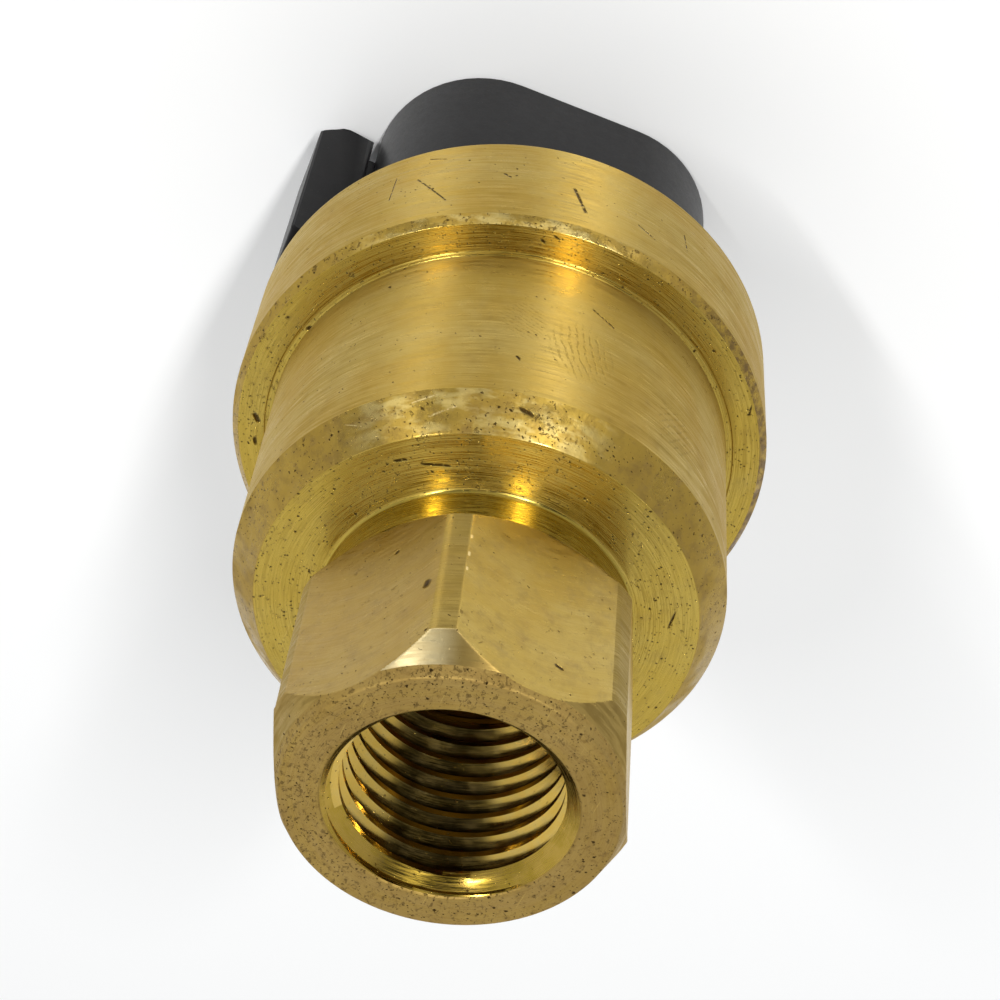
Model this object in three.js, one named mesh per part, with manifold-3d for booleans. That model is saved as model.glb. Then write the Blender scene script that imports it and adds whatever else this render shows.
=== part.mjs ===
// Pressure switch: a brass body with a female threaded port and a wrench hexagon at its top,
// and a three-way sealed plastic receptacle at its foot. The body holds a diaphragm, a sprung
// plunger and a change-over contact set. Millimetres, +Z from the receptacle's rim to the port.

import * as THREE from 'three';
import { mergeVertices } from 'three/addons/utils/BufferGeometryUtils.js';
import Module from 'manifold-3d';

const wasm = await Module();
wasm.setup();

// ---------------------------------------------------------------- driving dimensions

const HEIGHT = 63.4; // receptacle rim (z = 0) to port face

// brass body, outside
const HEX_FLATS = 19.0; // across flats
const HEX_CORNER_R = 10.58; // corners are turned down to this radius
const HEX_TURN = 23.4; // degrees from +X to the normal of one flat
const FACE_R = 9.3; // outer edge of the port face
const HEX_TOP_Z = 61.0; // corners run into the port-end chamfer here
const HEX_FOOT_Z = 51.1; // corners run into the neck-end chamfer here
const NECK_R = 9.37;
const NECK_TOP_Z = 49.8;
const SHOULDER_Z = 47.4; // flat annulus under the neck
const SHOULDER_R = 13.4; // where that annulus meets the chamfer
const BODY_R = 15.03;
const BODY_TOP_Z = 45.2;
const COLLAR_Z = 30.5; // flat annulus of the collar
const COLLAR_STEP_R = 17.27;
const COLLAR_R = 17.75;
const COLLAR_EDGE_Z = 29.9;
const LIP_Z = 20.5; // foot of the collar: the lip that is rolled over the receptacle's flange
const LIP_R = 14.2;
const LIP_T = 1.0;

// brass body, inside
const THREAD_MAJOR_R = 7.0; // M14 x 1.5
const THREAD_MINOR_R = 6.19;
const THREAD_PITCH = 1.5;
const THREAD_END_Z = 50.0;
const MOUTH_R = 7.16; // countersink
const DRILL_Z = 48.4; // full drill diameter ends here
const PASSAGE_R = 1.5;
const CHAMBER_Z = 42.5;
const CHAMBER_R = 9.0;
const SEAT_Z = 41.0; // the diaphragm's seal seat
const SEAL_GROOVE = [10.0, 11.6, 0.9]; // inner radius, outer radius, depth
const BORE_R = 12.6; // switch chamber
const STEP_Z = 27.7; // shoulder that the contact carrier is clamped against
const FLANGE_BORE_R = 15.6;

// receptacle
const TRI_E = 5.35; // corner circle centres lie this far from the axis
const TRI_R = 8.3; // corner circle radius
const TRI_WALL = 1.9;
const SOCKET_DEPTH = 17.0;
const FLANGE_R = 15.4;
const FLANGE_Z = 21.6;
const FLANGE_TOP_Z = 25.0;
const TAB_OUT = 17.5; // latch tab
const TAB_HALF = 2.85;
const TAB_Z = [0.6, 17.4];
const TAB_SLOT = 0.5;
const PIN_R = 0.79;
const PIN_CIRCLE = 4.3;
const PIN_TIP_Z = 6.0;

// pressure element
const PLUNGER_TRAVEL = 0.6;
const HINGE_Y = 9.0; // rivet that the moving blade turns on
const CONTACT_Y = -7.5;

const SEG = 60; // facets round the brass body
const SEG_IN = 36; // facets round the inner pieces
const SEG_BORE = 24; // facets round the threaded bore

// ---------------------------------------------------------------- geometry helpers

function closed(geometry) {
  let g = geometry.clone();
  g.deleteAttribute('normal');
  if (g.getAttribute('uv')) g.deleteAttribute('uv');
  g = mergeVertices(g, 1e-4);
  const p = g.getAttribute('position');
  const idx = g.getIndex().array;
  const tri = [];
  let volume = 0;
  const a = new THREE.Vector3();
  const b = new THREE.Vector3();
  const c = new THREE.Vector3();
  for (let i = 0; i < idx.length; i += 3) {
    const [u, v, w] = [idx[i], idx[i + 1], idx[i + 2]];
    if (u === v || v === w || w === u) continue;
    tri.push(u, v, w);
    a.fromBufferAttribute(p, u);
    b.fromBufferAttribute(p, v);
    c.fromBufferAttribute(p, w);
    volume += a.dot(b.cross(c));
  }
  if (volume < 0) for (let i = 0; i < tri.length; i += 3) [tri[i + 1], tri[i + 2]] = [tri[i + 2], tri[i + 1]];
  g.setIndex(tri);
  return g;
}

function toSolid(geometry) {
  const g = closed(geometry);
  const mesh = new wasm.Mesh({
    numProp: 3,
    vertProperties: new Float32Array(g.getAttribute('position').array),
    triVerts: new Uint32Array(g.getIndex().array),
  });
  return new wasm.Manifold(mesh);
}

function fromSolid(solid) {
  const m = solid.getMesh();
  const g = new THREE.BufferGeometry();
  const xyz = new Float32Array((m.vertProperties.length / m.numProp) * 3);
  for (let i = 0; i < xyz.length / 3; i++) {
    for (let k = 0; k < 3; k++) xyz[3 * i + k] = m.vertProperties[m.numProp * i + k];
  }
  g.setAttribute('position', new THREE.BufferAttribute(xyz, 3));
  g.setIndex(Array.from(m.triVerts));
  g.computeVertexNormals();
  return g;
}

const join = (...g) => fromSolid(g.map(toSolid).reduce((a, b) => a.add(b)));
const cut = (g, ...tools) => fromSolid(tools.map(toSolid).reduce((a, b) => a.subtract(b), toSolid(g)));

// a turned piece: [radius, z] points, starting and ending on the axis or closing on themselves
function turned(points, segments = SEG_IN, loop = true) {
  const pts = points.map(([r, z]) => new THREE.Vector2(r, z));
  if (loop) pts.push(pts[0].clone());
  const g = new THREE.LatheGeometry(pts, segments);
  g.rotateX(Math.PI / 2);
  return closed(g);
}

const disc = (r, z0, z1, segments = SEG_IN) => turned([[0, z0], [r, z0], [r, z1], [0, z1]], segments, false);
const ring = (r0, r1, z0, z1, segments = SEG_IN) => turned([[r0, z0], [r1, z0], [r1, z1], [r0, z1]], segments);

function block(x0, x1, y0, y1, z0, z1) {
  const g = new THREE.BoxGeometry(x1 - x0, y1 - y0, z1 - z0);
  g.translate((x0 + x1) / 2, (y0 + y1) / 2, (z0 + z1) / 2);
  return g;
}

function at(geometry, x, y, z = 0) {
  const g = geometry.clone();
  g.translate(x, y, z);
  return g;
}

function torus(r, tube, z, segments = 40, sides = 10) {
  const g = new THREE.TorusGeometry(r, tube, sides, segments);
  g.translate(0, 0, z);
  return closed(g);
}

function extruded(shape, z0, z1, curveSegments = 12) {
  const g = new THREE.ExtrudeGeometry(shape, { depth: z1 - z0, bevelEnabled: false, curveSegments });
  g.translate(0, 0, z0);
  return g;
}

// rounded triangle: one flat faces -Y, one corner points to +Y
function triangle(radius, z0, z1, arc = 14) {
  const pts = [];
  for (const corner of [-30, 90, 210]) {
    for (let i = 0; i <= arc; i++) {
      const c = THREE.MathUtils.degToRad(corner);
      const a = THREE.MathUtils.degToRad(corner - 60 + (120 * i) / arc);
      pts.push(new THREE.Vector2(TRI_E * Math.cos(c) + radius * Math.cos(a), TRI_E * Math.sin(c) + radius * Math.sin(a)));
    }
  }
  return extruded(new THREE.Shape(pts), z0, z1);
}

// the solid swept by a 60-degree thread form, right hand
function threadTool(z0, z1, segments) {
  const inner = THREAD_MINOR_R - 0.19;
  const crest = THREAD_PITCH / 16;
  const root = crest + (THREAD_MAJOR_R - inner) * Math.tan(Math.PI / 6);
  const form = [[inner, -root], [THREAD_MAJOR_R, -crest], [THREAD_MAJOR_R, crest], [inner, root]];
  const steps = Math.round(((z1 - z0) / THREAD_PITCH) * segments);
  const pos = [];
  const idx = [];
  for (let i = 0; i <= steps; i++) {
    const a = (i / segments) * 2 * Math.PI;
    for (const [r, dz] of form) pos.push(r * Math.cos(a), r * Math.sin(a), z0 + (i / segments) * THREAD_PITCH + dz);
  }
  for (let i = 0; i < steps; i++) {
    for (let k = 0; k < 4; k++) {
      const a = 4 * i + k;
      const b = 4 * i + ((k + 1) % 4);
      idx.push(a, a + 4, b, b, a + 4, b + 4);
    }
  }
  const e = 4 * steps;
  idx.push(0, 1, 2, 0, 2, 3, e, e + 2, e + 1, e, e + 3, e + 2);
  const g = new THREE.BufferGeometry();
  g.setAttribute('position', new THREE.BufferAttribute(new Float32Array(pos), 3));
  g.setIndex(idx);
  return g;
}

// ---------------------------------------------------------------- materials

const finish = (color, roughness, metalness) => new THREE.MeshStandardMaterial({ color, roughness, metalness });
const brass = () => finish(0xb89a4e, 0.35, 1.0);
const blackPlastic = () => finish(0x323032, 0.5, 0.0);
const carrierPlastic = () => finish(0x3a3630, 0.6, 0.0);
const rubber = () => finish(0x1c1c1c, 0.8, 0.0);
const steel = () => finish(0xa8abae, 0.4, 1.0);
const springSteel = () => finish(0x8c8f92, 0.35, 1.0);
const tinned = () => finish(0xc6c4ba, 0.35, 1.0);
const silver = () => finish(0xdad8d2, 0.25, 1.0);
const copperAlloy = () => finish(0xc98d5a, 0.35, 1.0);
const ceramic = () => finish(0xece6d8, 0.45, 0.0);
const epoxy = () => finish(0x2a2c36, 0.4, 0.0);

const part = new THREE.Group();
const pressureEnd = new THREE.Group(); // measured from the diaphragm's seat
pressureEnd.position.z = SEAT_Z;
const contactSet = new THREE.Group(); // measured from the carrier's deck
const DECK_Z = STEP_Z - 0.1;
contactSet.position.z = DECK_Z;
const receptacle = new THREE.Group();
part.add(pressureEnd, contactSet, receptacle);

function piece(name, geometry, material, parent = part, position = [0, 0, 0]) {
  const mesh = new THREE.Mesh(geometry, material);
  mesh.name = name;
  mesh.position.set(...position);
  parent.add(mesh);
  return mesh;
}

// ---------------------------------------------------------------- brass body

const outer = turned([
  [LIP_R, LIP_Z], [COLLAR_R - 0.45, LIP_Z], [COLLAR_R, LIP_Z + 0.45], [COLLAR_R, COLLAR_EDGE_Z],
  [COLLAR_STEP_R, COLLAR_Z], [BODY_R, COLLAR_Z], [BODY_R, BODY_TOP_Z], [SHOULDER_R, SHOULDER_Z],
  [NECK_R, SHOULDER_Z], [NECK_R, NECK_TOP_Z], [HEX_CORNER_R, HEX_FOOT_Z], [HEX_CORNER_R, HEX_TOP_Z],
  [FACE_R, HEIGHT], [PASSAGE_R, HEIGHT], [PASSAGE_R, CHAMBER_Z], [CHAMBER_R, CHAMBER_Z],
  [CHAMBER_R, SEAT_Z], [SEAL_GROOVE[0], SEAT_Z], [SEAL_GROOVE[0], SEAT_Z + SEAL_GROOVE[2]],
  [SEAL_GROOVE[1], SEAT_Z + SEAL_GROOVE[2]], [SEAL_GROOVE[1], SEAT_Z], [BORE_R, SEAT_Z],
  [BORE_R, STEP_Z], [FLANGE_BORE_R, STEP_Z], [FLANGE_BORE_R, LIP_Z + LIP_T], [LIP_R, LIP_Z + LIP_T],
], SEG);

const hexCuts = [0, 1, 2, 3, 4, 5].map((i) => {
  const g = block(HEX_FLATS / 2, 13, -7.5, 7.5, SHOULDER_Z + 1, HEIGHT + 1);
  g.rotateZ(THREE.MathUtils.degToRad(HEX_TURN + 60 * i));
  return g;
});

const drillTip = (THREAD_MINOR_R - PASSAGE_R) * 0.6;
const bore = turned([
  [0, DRILL_Z - drillTip - 0.5], [PASSAGE_R - 0.2, DRILL_Z - drillTip - 0.5], [PASSAGE_R - 0.2, DRILL_Z - drillTip - 0.12],
  [THREAD_MINOR_R, DRILL_Z], [THREAD_MINOR_R, HEIGHT - (MOUTH_R - THREAD_MINOR_R)], [MOUTH_R, HEIGHT],
  [MOUTH_R + 1, HEIGHT + 1], [0, HEIGHT + 1],
], SEG_BORE, false);

piece('brass_body', cut(outer, ...hexCuts, bore, threadTool(THREAD_END_Z, HEIGHT + 0.4, SEG_BORE)), brass());

// ---------------------------------------------------------------- pressure end

const RETAINER_T = 3.4;
piece('diaphragm_seal', torus(10.8, 0.55, 0, 32, 6), rubber(), pressureEnd, [0, 0, 0.33]);
piece('diaphragm', disc(12.3, -0.5, -0.3), springSteel(), pressureEnd);
piece('diaphragm_retainer', turned([
  [6.3, -0.6 - RETAINER_T], [12.4, -0.6 - RETAINER_T], [12.4, -0.6], [7.4, -0.6], [6.3, -1.1],
]), steel(), pressureEnd);

// plunger: pressure plate with a socket for the insulating pin
piece('piston', turned([
  [0, -1.7], [1.26, -1.7], [1.26, -3.8], [2.6, -3.8], [2.6, -2.4], [6.22, -2.4], [6.22, -1.2], [5.6, -0.6], [0, -0.6],
], SEG_IN, false), steel(), pressureEnd);
piece('actuator_pin', turned([
  [0, 30.5 - SEAT_Z], [0.8, 30.5 - SEAT_Z], [1.2, 30.9 - SEAT_Z], [1.2, -1.8], [0, -1.8],
], 24, false), ceramic(), pressureEnd);

// spring housing: clamped flange and a threaded tube for the adjusting nut
piece('spring_housing', turned([
  [5.6, -9.0], [7.0, -9.0], [7.0, -5.1], [12.4, -5.1], [12.4, -4.1], [5.6, -4.1],
]), brass(), pressureEnd);
piece('adjusting_nut', cut(
  ring(1.6, 5.52, -8.8, -7.2),
  block(-6, -2.6, -0.5, 0.5, -9, -8.1),
  block(2.6, 6, -0.5, 0.5, -9, -8.1),
), brass(), pressureEnd);

class Coil extends THREE.Curve {
  constructor(radius, z0, z1, turns) {
    super();
    Object.assign(this, { radius, z0, z1, turns });
  }

  getPoint(t, target = new THREE.Vector3()) {
    const a = 2 * Math.PI * this.turns * t;
    return target.set(this.radius * Math.cos(a), this.radius * Math.sin(a), this.z0 + (this.z1 - this.z0) * t);
  }
}
const wire = new THREE.Shape();
wire.absarc(0, 0, 0.44, 0, 2 * Math.PI);
piece('range_spring', closed(new THREE.ExtrudeGeometry(wire, {
  extrudePath: new Coil(4.3, -6.68, -2.92, 3.2), steps: 54, curveSegments: 3, bevelEnabled: false,
})), springSteel(), pressureEnd);

// ---------------------------------------------------------------- contact set, z from the carrier's deck

const z = (v) => v - DECK_Z;

piece('contact_carrier', cut(
  turned([
    [0, z(26.2)], [FLANGE_R, z(26.2)], [FLANGE_R, 0], [12.5, 0], [12.5, z(35.8)], [11.6, z(35.8)], [11.6, 0], [0, 0],
  ], SEG_IN, false),
  block(-1.7, 1.7, 10.15, 11.25, z(26), z(28)),
  block(2.7, 4.8, -8.6, -7.6, z(26), z(28)),
  block(-4.8, -3.8, -9.2, -5.8, z(26), z(28)),
), carrierPlastic(), contactSet);

const pinAt = (deg) => [PIN_CIRCLE * Math.cos(THREE.MathUtils.degToRad(deg)), PIN_CIRCLE * Math.sin(THREE.MathUtils.degToRad(deg))];
const pin = (deg) => at(turned([
  [0, z(PIN_TIP_Z)], [0.35, z(PIN_TIP_Z)], [PIN_R, z(PIN_TIP_Z + 1.1)], [PIN_R, z(25.3)], [0, z(25.3)],
], 16, false), ...pinAt(deg));
const hole = (x, y, r, z0, z1) => at(disc(r, z0, z1, 24), x, y);

piece('terminal_common', cut(
  join(
    pin(90),
    block(-1.5, 1.5, 3.3, 11.0, z(25.1), z(25.7)),
    block(-1.5, 1.5, 10.4, 11.0, z(25.4), z(30.0)),
    block(-2.0, 2.0, 7.4, 11.0, z(29.4), z(30.0)),
  ),
  hole(0, HINGE_Y, 1.0, z(29), z(31)),
), tinned(), contactSet);
piece('terminal_no', cut(
  join(
    pin(-30),
    block(2.9, 4.6, -8.4, -1.2, z(25.1), z(25.7)),
    block(2.9, 4.6, -8.4, -7.8, z(25.4), z(28.0)),
    block(-1.8, 4.6, -9.2, -5.8, z(27.65), z(28.0)),
  ),
  hole(0, CONTACT_Y, 0.78, z(27), z(29)),
), tinned(), contactSet);
piece('terminal_nc', cut(
  join(
    pin(210),
    block(-4.6, -2.9, -9.0, -1.2, z(25.1), z(25.7)),
    block(-4.6, -4.0, -9.0, -6.0, z(25.4), z(31.75)),
    block(-4.6, 1.9, -9.2, -5.8, z(31.35), z(31.75)),
  ),
  hole(0, CONTACT_Y, 0.78, z(31), z(32)),
), tinned(), contactSet);

// moving blade: a leaf that turns on the rivet and carries the moving contact
const leaf = new THREE.Shape();
leaf.moveTo(-1.9, 10.3);
leaf.lineTo(1.9, 10.3);
leaf.lineTo(1.9, 6.5);
leaf.lineTo(1.5, 4.5);
leaf.lineTo(1.5, -5.0);
leaf.lineTo(2.0, -6.5);
leaf.lineTo(2.0, CONTACT_Y);
leaf.absarc(0, CONTACT_Y, 2.0, 0, -Math.PI, true);
leaf.lineTo(-2.0, -6.5);
leaf.lineTo(-1.5, -5.0);
leaf.lineTo(-1.5, 4.5);
leaf.lineTo(-1.9, 6.5);
leaf.closePath();
const leafHole = (y, r) => {
  const h = new THREE.Path();
  h.absarc(0, y, r, 0, 2 * Math.PI, false);
  return h;
};
leaf.holes.push(leafHole(HINGE_Y, 0.9), leafHole(CONTACT_Y, 0.85));
piece('moving_blade', closed(extruded(leaf, z(30.2), z(30.45), 10)), copperAlloy(), contactSet);
piece('blade_rivet', at(turned([
  [0, z(28.8)], [1.2, z(28.8)], [1.2, z(29.2)], [0.84, z(29.2)], [0.84, z(30.5)], [1.5, z(30.5)], [1.2, z(30.95)], [0, z(31.0)],
], 24, false), 0, HINGE_Y), brass(), contactSet);
piece('moving_contact', at(turned([
  [0, z(29.7)], [1.3, z(29.7)], [1.5, z(29.85)], [1.5, z(30.15)], [0.8, z(30.15)], [0.8, z(30.5)], [1.5, z(30.5)],
  [1.5, z(30.7)], [1.3, z(30.85)], [0, z(30.85)],
], 24, false), 0, CONTACT_Y), silver(), contactSet);
piece('contact_no', at(turned([
  [0, z(27.68)], [0.72, z(27.68)], [0.72, z(28.05)], [1.5, z(28.05)], [1.5, z(28.2)], [1.3, z(28.35)], [0, z(28.35)],
], 24, false), 0, CONTACT_Y), silver(), contactSet);
piece('contact_nc', at(turned([
  [0, z(30.95)], [1.3, z(30.95)], [1.5, z(31.1)], [1.5, z(31.3)], [0.72, z(31.3)], [0.72, z(31.8)], [0, z(31.8)],
], 24, false), 0, CONTACT_Y), silver(), contactSet);

// ---------------------------------------------------------------- receptacle

piece('support_washer', ring(12.2, 15.4, 25.1, 26.1), steel(), receptacle);
piece('housing_seal', torus(14.56, 0.76, 24.22, 36, 6), rubber(), receptacle);

const pins = [90, -30, 210].map(pinAt);
const clear = (z0, z1) => pins.map(([x, y]) => hole(x, y, PIN_R + 0.06, z0, z1));

const housing = join(
  triangle(TRI_R, 0, FLANGE_Z + 0.5),
  turned([
    [0, FLANGE_Z], [FLANGE_R, FLANGE_Z], [FLANGE_R, 23.4], [13.7, 23.4], [13.7, FLANGE_TOP_Z], [9.0, FLANGE_TOP_Z], [9.0, 23.0], [0, 23.0],
  ], SEG_IN, false),
  // latch tab: outer plate, sloped at the mating end, on a narrower web
  (() => {
    const s = new THREE.Shape();
    const x0 = TRI_E * Math.cos(Math.PI / 6) + TRI_R + TAB_SLOT;
    s.moveTo(x0, TAB_Z[1]);
    for (const [x, zz] of [[x0, TAB_Z[0] + 0.5], [13.7, TAB_Z[0] + 0.5], [14.7, TAB_Z[0] + 0.15], [15.4, TAB_Z[0]],
      [15.9, TAB_Z[0] + 0.15], [16.4, TAB_Z[0] + 0.75], [16.9, TAB_Z[0] + 1.45], [TAB_OUT, TAB_Z[0] + 2.0], [TAB_OUT, TAB_Z[1]]]) {
      s.lineTo(x, zz);
    }
    s.closePath();
    const g = new THREE.ExtrudeGeometry(s, { depth: 2 * TAB_HALF, bevelEnabled: false });
    g.rotateX(Math.PI / 2);
    g.translate(0, TAB_HALF, 0);
    return g;
  })(),
  block(11.5, 13.8, -TAB_HALF + 0.8, TAB_HALF - 0.8, TAB_Z[0] + 2.2, TAB_Z[1] - 0.4),
);
piece('connector_housing', cut(housing, triangle(TRI_R - TRI_WALL, -1, SOCKET_DEPTH), ...clear(SOCKET_DEPTH - 1, 24)),
  blackPlastic(), receptacle);
piece('terminal_potting', cut(disc(8.9, 23.06, 24.94), ...clear(22, 26)), epoxy(), receptacle);

export default part;
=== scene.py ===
import math
import bpy
import bmesh
from mathutils import Matrix, Vector


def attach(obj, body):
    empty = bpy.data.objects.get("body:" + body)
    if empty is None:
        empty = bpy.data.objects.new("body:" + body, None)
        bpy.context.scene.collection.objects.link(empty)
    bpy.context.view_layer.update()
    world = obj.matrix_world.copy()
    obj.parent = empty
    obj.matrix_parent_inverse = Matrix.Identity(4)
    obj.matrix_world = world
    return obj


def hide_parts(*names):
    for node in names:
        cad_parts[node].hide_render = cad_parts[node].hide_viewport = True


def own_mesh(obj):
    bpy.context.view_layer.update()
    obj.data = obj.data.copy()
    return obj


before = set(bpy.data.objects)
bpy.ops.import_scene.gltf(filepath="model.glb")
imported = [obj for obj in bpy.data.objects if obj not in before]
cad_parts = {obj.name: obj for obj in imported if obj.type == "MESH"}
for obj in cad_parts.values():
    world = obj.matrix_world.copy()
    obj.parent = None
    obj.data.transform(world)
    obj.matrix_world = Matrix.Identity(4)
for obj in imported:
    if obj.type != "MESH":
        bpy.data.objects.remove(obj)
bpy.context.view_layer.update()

MM = 0.001
TAU = 2 * math.pi

# ------------------------------------------------------------------ dimensions, mm (the CAD's own)
H = 63.4
TURN = math.radians(23.4)
NECK_R, NECK_TOP = 9.37, 49.8
MINOR, MAJOR, PITCH = 6.19, 7.0, 1.5
MOUTH_R = 7.16
THREAD_END = 50.0
DRILL_Z = 48.4
TRI_E, TRI_R, TRI_WALL = 5.35, 8.3, 1.9

# ------------------------------------------------------------------ mesh helpers


def new_mesh(name, verts, faces, smooth=True, mats=None, face_mats=None):
    me = bpy.data.meshes.new(name)
    me.from_pydata([(x * MM, y * MM, z * MM) for x, y, z in verts], [], faces)
    me.validate()
    me.update()
    ob = bpy.data.objects.new(name, me)
    bpy.context.scene.collection.objects.link(ob)
    if mats:
        for m in mats:
            me.materials.append(m)
    if face_mats:
        for p, i in zip(me.polygons, face_mats):
            p.material_index = i
    if smooth:
        me.polygons.foreach_set("use_smooth", [True] * len(me.polygons))
    return ob


def rounded(points, closed=False, steps=5):
    """[(a, b, radius)] -> [(a, b)] with each corner turned into an arc."""
    n = len(points)
    out = []
    for i, (x, y, rad) in enumerate(points):
        if rad <= 0 or (not closed and i in (0, n - 1)):
            out.append((x, y))
            continue
        p = Vector((x, y))
        a = Vector(points[i - 1][:2]) - p
        b = Vector(points[(i + 1) % n][:2]) - p
        la, lb = a.length, b.length
        a.normalize()
        b.normalize()
        ang = a.angle(b)
        if ang > math.radians(178):
            out.append((x, y))
            continue
        d = min(rad / math.tan(ang / 2), la * 0.49, lb * 0.49)
        r = d * math.tan(ang / 2)
        c = p + (a + b).normalized() * (r / math.sin(ang / 2))
        s, e = p + a * d, p + b * d
        a0 = math.atan2(s.y - c.y, s.x - c.x)
        a1 = math.atan2(e.y - c.y, e.x - c.x)
        while a1 - a0 > math.pi:
            a1 -= TAU
        while a1 - a0 < -math.pi:
            a1 += TAU
        for k in range(steps + 1):
            t = a0 + (a1 - a0) * k / steps
            out.append((c.x + r * math.cos(t), c.y + r * math.sin(t)))
    return out


def grid(name_verts, rows, cols, wrap=True):
    faces = []
    for j in range(rows - 1):
        for i in range(cols if wrap else cols - 1):
            k = (i + 1) % cols
            faces.append((j * cols + i, j * cols + k, (j + 1) * cols + k, (j + 1) * cols + i))
    return faces


def revolve(profile, seg, off=(0.0, 0.0), base=0, phase=0.0):
    """profile [(r, z)] -> verts and faces round Z; a point on the axis is one vertex."""
    verts, rows = [], []
    for r, z in profile:
        if r < 1e-6:
            rows.append([base + len(verts)] * seg)
            verts.append((off[0], off[1], z))
        else:
            rows.append([base + len(verts) + i for i in range(seg)])
            for i in range(seg):
                a = phase + TAU * i / seg
                verts.append((off[0] + r * math.cos(a), off[1] + r * math.sin(a), z))
    faces = []
    for a, b in zip(rows, rows[1:]):
        for i in range(seg):
            k = (i + 1) % seg
            q = [a[i], a[k], b[k], b[i]]
            f = [v for n, v in enumerate(q) if v != q[n - 1]]
            if len(set(f)) >= 3:
                faces.append(tuple(dict.fromkeys(f)))
    return verts, faces


def fix_normals(ob):
    bm = bmesh.new()
    bm.from_mesh(ob.data)
    bmesh.ops.remove_doubles(bm, verts=bm.verts, dist=1e-7)
    bmesh.ops.recalc_face_normals(bm, faces=bm.faces)
    bm.to_mesh(ob.data)
    bm.free()


def turned(name, points, mat, body, nodes, seg=128, closed=True, off=(0.0, 0.0), auto=35):
    prof = rounded(points, closed=closed)
    if closed:
        prof.append(prof[0])
    v, f = revolve(prof, seg, off)
    ob = new_mesh(name, v, f, mats=[mat])
    fix_normals(ob)
    place(ob, body, nodes, auto)
    return ob


def place(ob, body, nodes, auto=None):
    if auto:
        ob.data.set_sharp_from_angle(angle=math.radians(auto))
    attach(ob, body)
    if nodes:
        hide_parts(*nodes)


# ------------------------------------------------------------------ node helpers


class Nodes:
    def __init__(self, name):
        self.mat = bpy.data.materials.new(name)
        self.mat.use_nodes = True
        self.t = self.mat.node_tree
        self.t.nodes.clear()
        self.out = self.t.nodes.new("ShaderNodeOutputMaterial")
        self.b = self.t.nodes.new("ShaderNodeBsdfPrincipled")
        self.t.links.new(self.b.outputs[0], self.out.inputs[0])
        self.tc = self.t.nodes.new("ShaderNodeTexCoord")

    def link(self, a, b):
        self.t.links.new(a, b)

    def put(self, socket, v):
        if hasattr(v, "is_output") or hasattr(v, "links"):
            self.t.links.new(v, socket)
        else:
            socket.default_value = v

    def math(self, op, a, b=None, c=None, clamp=False):
        n = self.t.nodes.new("ShaderNodeMath")
        n.operation = op
        n.use_clamp = clamp
        self.put(n.inputs[0], a)
        if b is not None:
            self.put(n.inputs[1], b)
        if c is not None:
            self.put(n.inputs[2], c)
        return n.outputs[0]

    def vmath(self, op, a, b=None, scale=None):
        n = self.t.nodes.new("ShaderNodeVectorMath")
        n.operation = op
        self.put(n.inputs[0], a)
        if b is not None:
            self.put(n.inputs[1], b)
        if scale is not None:
            self.put(n.inputs[3], scale)
        return n.outputs[1] if op in ("LENGTH", "DOT_PRODUCT", "DISTANCE") else n.outputs[0]

    def sep(self, v):
        n = self.t.nodes.new("ShaderNodeSeparateXYZ")
        self.link(v, n.inputs[0])
        return n.outputs

    def comb(self, x, y, z):
        n = self.t.nodes.new("ShaderNodeCombineXYZ")
        for s, v in zip(n.inputs, (x, y, z)):
            self.put(s, v)
        return n.outputs[0]

    def noise(self, vec, scale=1.0, detail=3.0, rough=0.55, distort=0.0):
        n = self.t.nodes.new("ShaderNodeTexNoise")
        self.link(vec, n.inputs["Vector"])
        n.inputs["Scale"].default_value = scale
        n.inputs["Detail"].default_value = detail
        n.inputs["Roughness"].default_value = rough
        n.inputs["Distortion"].default_value = distort
        return n.outputs[0]

    def voronoi(self, vec, scale=1.0, feature="F1", rand=1.0):
        n = self.t.nodes.new("ShaderNodeTexVoronoi")
        n.feature = feature
        self.link(vec, n.inputs["Vector"])
        n.inputs["Scale"].default_value = scale
        n.inputs["Randomness"].default_value = rand
        return n.outputs

    def ramp(self, v, lo, hi, a=0.0, b=1.0, smooth=True):
        n = self.t.nodes.new("ShaderNodeMapRange")
        n.interpolation_type = "SMOOTHSTEP" if smooth else "LINEAR"
        self.link(v, n.inputs[0])
        for s, x in zip(n.inputs[1:5], (lo, hi, a, b)):
            s.default_value = x
        return n.outputs[0]

    def mix(self, f, a, b, blend="MIX"):
        n = self.t.nodes.new("ShaderNodeMix")
        n.data_type = "RGBA"
        n.blend_type = blend
        n.clamp_factor = True
        self.put(n.inputs[0], f)
        for s, v in ((n.inputs[6], a), (n.inputs[7], b)):
            if isinstance(v, tuple):
                s.default_value = (*v, 1.0)
            else:
                self.link(v, s)
        return n.outputs[2]

    def bump(self, height, distance, strength=1.0, normal=None):
        n = self.t.nodes.new("ShaderNodeBump")
        n.inputs["Strength"].default_value = strength
        n.inputs["Distance"].default_value = distance
        self.link(height, n.inputs["Height"])
        if normal is not None:
            self.link(normal, n.inputs["Normal"])
        return n.outputs[0]

    def mm(self):
        return self.vmath("SCALE", self.tc.outputs["Object"], scale=1000.0)


def gold(c, k=1.0):
    return tuple(min(1.0, v * k) for v in c)


BRASS = (0.465, 0.308, 0.062)
BRASS_DEEP = (0.41, 0.275, 0.030)
BRASS_PALE = (0.50, 0.36, 0.100)
BRASS_PINK = (0.44, 0.295, 0.105)
PIT = (0.05, 0.027, 0.008)


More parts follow.
